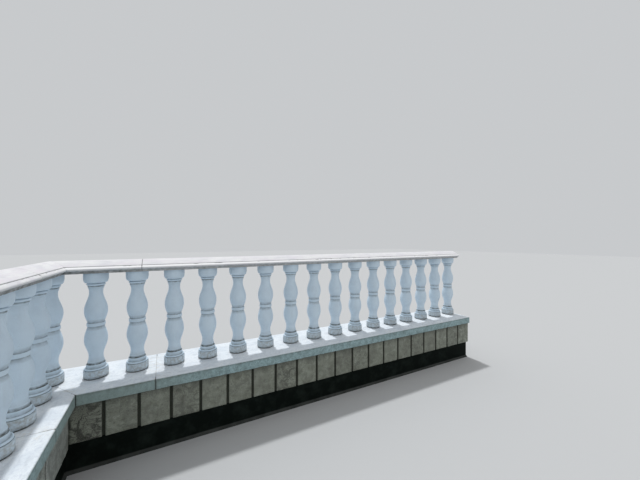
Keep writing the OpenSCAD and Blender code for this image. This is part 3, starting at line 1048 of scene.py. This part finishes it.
def tile_material():
    """Cleft tile: grey-brown, with painted shade in its hollows, drip stains and painted shadow below the
    coping, each one a little different.
    """
    shader = Shader("cleft_tile", roughness=0.5, specular=0.4)
    patches = shader.noise(22.0, 5.0, 0.62)
    shader.colour = shader.mix(shader.steps(patches, 0.36, 0.68), TILE_STONE, TILE_SHADE)
    tone = shader.mask("tone")
    shader.paint(shader.steps(tone, 0.0, 1.0, 0.0, 0.50), TILE_DARK)
    shader.paint(shader.steps(tone, 0.0, -1.0, 0.0, 0.7), TILE_PALE)
    swirl = shader.noise(11.0, 2.0, 0.5, swirl=1.5)
    rings = shader.math("PINGPONG", swirl, 0.045)
    vein = shader.steps(rings, 0.006, 0.020, 0.85, 0.0)
    blot = shader.steps(shader.noise(20.0, 3.0, 0.6, swirl=1.2), 0.50, 0.58)
    shader.paint(shader.times(shader.mask("veined"), shader.math("MAXIMUM", vein, blot)), TILE_VEIN)
    # Painted shade: the deeper parts of the cleft face are darkened.
    shader.paint(shader.steps(shader.mask("deep"), 0.45, 0.9, 0.0, 0.75), TILE_HOLLOW_SHADE)
    drip = shader.noise(40.0, 4.0, 0.6, stretch=(1.0, 1.0, 0.4))
    reach = shader.times(drip, 0.10)
    drop = shader.mask("drop")
    stain = shader.steps(shader.math("SUBTRACT", reach, drop), 0.0, 0.04, 0.0, 0.6)
    # Drip stains, and a dark band along the tile's top that is painted shadow under the coping with some
    # stains.
    shader.paint(shader.math("MAXIMUM", stain, shader.steps(drop, 0.008, 0.016, 0.85, 0.0)), TILE_STAIN_AND_SHADE)
    shader.paint(shader.steps(shader.noise(95.0, 3.0, 0.7), 0.60, 0.70, 0.0, 0.7), TILE_SPOTS)
    grain = shader.noise(260.0, 3.0, 0.6)
    shader.paint(shader.steps(grain, 0.45, 0.7, 0.0, 0.3), TILE_GRAIN)
    relief = shader.bump(grain, 0.5, 0.0008)
    return shader.done(shader.bump(patches, 0.4, 0.0025, relief), shader.steps(patches, 0.3, 0.7, 0.42, 0.62))


BED_DARK, BED_PALE = (0.028, 0.033, 0.026), (0.060, 0.066, 0.052)


def mortar_material():
    shader = Shader("joint_mortar", roughness=0.9, specular=0.2)
    grain = shader.noise(300.0, 3.0, 0.6)
    shader.colour = shader.mix(shader.steps(grain, 0.35, 0.7), BED_DARK, BED_PALE)
    return shader.done(shader.bump(grain, 0.6, 0.001))


# The sheet's near-black colour is partly painted shade under the overhanging tiles.
SHEET_COLOUR_AND_SHADE, SHEET_DUST = (0.0040, 0.0066, 0.0054), (0.015, 0.021, 0.018)
STRIP_COLOUR = (0.058, 0.063, 0.060)


def band_material():
    """Waterproof sheet: near black with a green cast, partly its own colour and partly painted shade under
    the tiles, with dust in places, and a grey strip at its foot.
    """
    shader = Shader("waterproof_sheet", roughness=0.75, specular=0.05)
    dust = shader.noise(14.0, 5.0, 0.65)
    shader.colour = shader.mix(shader.steps(dust, 0.45, 0.75), SHEET_COLOUR_AND_SHADE, SHEET_DUST)
    shader.paint(shader.times(shader.mask("strip"), shader.steps(dust, 0.3, 0.6, 0.5, 1.0)), STRIP_COLOUR)
    relief = shader.bump(shader.noise(500.0, 2.0, 0.6), 0.4, 0.0005)
    return shader.done(relief, shader.steps(dust, 0.35, 0.7, 0.6, 0.85))


CONCRETE_PALE, CONCRETE_DARK = (0.42, 0.42, 0.40), (0.29, 0.29, 0.275)
CONCRETE_GRAIN = (0.19, 0.19, 0.18)
CONCRETE_PORES = (0.10, 0.10, 0.095)


def core_material():
    """Cast concrete, seen only at the two ends of the wall."""
    shader = Shader("wall_concrete", roughness=0.85, specular=0.3)
    patches = shader.noise(9.0, 5.0, 0.62)
    shader.colour = shader.mix(shader.steps(patches, 0.35, 0.7), CONCRETE_PALE, CONCRETE_DARK)
    grain = shader.noise(240.0, 3.0, 0.65)
    shader.paint(shader.steps(grain, 0.45, 0.7, 0.0, 0.5), CONCRETE_GRAIN)
    pores = shader.steps(shader.cells(90.0), 0.14, 0.04)
    shader.paint(shader.times(pores, 0.6), CONCRETE_PORES)
    relief = shader.bump(grain, 0.5, 0.001)
    return shader.done(shader.bump(pores, -0.6, 0.0015, relief))


# Assembly

def stone_nodes(run, kind):
    """Nodes of a run's corner stone and the stones after it, in order."""
    found = [n for n in NODES if n.startswith(f"{run}_{kind}_")]
    found.sort(key=lambda n: int(n.rsplit("_", 1)[1]))
    return [f"{run}_corner_{kind}"] + found


def seed_of(kind, number):
    first, step = SEEDS[kind]
    return first + step * number


def build_stones(kind, corner_end, outline_of, masks_of, material, wear):
    """All stones of one kind. Past the corner, only the first joint of each run is open."""
    halves = {run: span_of(run, stone_nodes(run, kind)[1])[2] for run in RUNS}
    number = itertools.count()
    for run, other in (RUNS, RUNS[::-1]):
        nodes = stone_nodes(run, kind)
        for i, node in enumerate(nodes):
            lo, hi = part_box(node)
            outline = outline_of(halves[run], lo.z / MM, hi.z / MM)
            start, end, _ = span_of(run, node)
            if i == 0:
                start = mitre(outline, halves[run], halves[other])
                end_kinds = (corner_end, "joint")
            else:
                end_kinds = ("joint" if i == 1 else "filled", "wall" if i == len(nodes) - 1 else "filled")
            build_stone(run, node, kind, material, outline, start, end, end_kinds, wear,
                        seed_of(kind, next(number)), masks_of)


def build_object():
    build_stones("coping", "mitre", coping_outline, coping_masks, coping_material(), COPING_WEAR)
    build_stones("rail", "seam", rail_outline, rail_masks, rail_material(), RAIL_WEAR)
    stone = baluster_material()
    for k, node in enumerate(n for n in NODES if "baluster" in n):
        build_baluster(node, seed_of("baluster", k), stone)
    tile, bed, sheet = tile_material(), mortar_material(), band_material()
    for k, (run, side) in enumerate(itertools.product(RUNS, ("inner", "outer"))):
        build_tiles(run, side, tile, bed, seed_of("tile", k))
        build_band(run, side, sheet, seed_of("band", k))
    concrete = core_material()
    for run in RUNS:
        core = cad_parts[f"{run}_wall_core"]
        core.data.materials.clear()
        core.data.materials.append(concrete)


# Stage

def build_camera():
    data = bpy.data.cameras.new("photo_camera")
    data.sensor_width = CAMERA_SENSOR
    data.lens = CAMERA_LENS
    data.shift_y = CAMERA_SHIFT
    data.clip_start = CAMERA_CLIP
    camera = add_object("photo_camera", data)
    camera.location = CAMERA_PLACE
    camera.rotation_euler = (math.pi / 2, 0.0, math.radians(CAMERA_TURN))
    bpy.context.scene.camera = camera


def build_key():
    data = bpy.data.lights.new("key", "SUN")
    data.energy = KEY_STRENGTH
    data.angle = math.radians(KEY_ANGLE)
    lamp = add_object("key", data)
    lamp.rotation_euler = Vector(KEY_FROM).to_track_quat("Z", "Y").to_euler()


def build_world():
    """Even fill light, with a pale backdrop where the camera looks past the object."""
    world = bpy.data.worlds.new("studio")
    world.use_nodes = True
    bpy.context.scene.world = world
    tree = world.node_tree
    fill = find_node(tree, "BACKGROUND")
    fill.inputs["Color"].default_value = (1.0, 1.0, 1.0, 1.0)
    fill.inputs["Strength"].default_value = FILL_STRENGTH
    shown = tree.nodes.new("ShaderNodeBackground")
    shown.inputs["Color"].default_value = (*BACKDROP, 1.0)
    rays = tree.nodes.new("ShaderNodeLightPath")
    seen = rays.outputs["Is Camera Ray"]
    for label in ("Is Glossy Ray", "Is Transmission Ray"):
        more = tree.nodes.new("ShaderNodeMath")
        more.operation = "MAXIMUM"
        tree.links.new(seen, more.inputs[0])
        tree.links.new(rays.outputs[label], more.inputs[1])
        seen = more.outputs[0]
    both = tree.nodes.new("ShaderNodeMixShader")
    tree.links.new(seen, both.inputs[0])
    tree.links.new(fill.outputs[0], both.inputs[1])
    tree.links.new(shown.outputs[0], both.inputs[2])
    output = find_node(tree, "OUTPUT_WORLD")
    tree.links.new(both.outputs[0], output.inputs["Surface"])


def build_floor():
    half = FLOOR_SIZE / 2
    mesh = bpy.data.meshes.new("floor")
    corners = [(-half, -half, 0), (half, -half, 0), (half, half, 0), (-half, half, 0)]
    mesh.from_pydata(corners, [], [(0, 1, 2, 3)])
    material = bpy.data.materials.new("floor")
    material.use_nodes = True
    shader = find_node(material.node_tree, "BSDF_PRINCIPLED")
    shader.inputs["Base Color"].default_value = (*FLOOR_COLOUR, 1.0)
    shader.inputs["Roughness"].default_value = FLOOR_ROUGHNESS
    shader.inputs["Specular IOR Level"].default_value = FLOOR_SPECULAR
    mesh.materials.append(material)
    floor = add_object("floor", mesh)


build_camera()
build_key()
build_world()
build_floor()
build_object()

bpy.context.scene.view_settings.view_transform = "Standard"
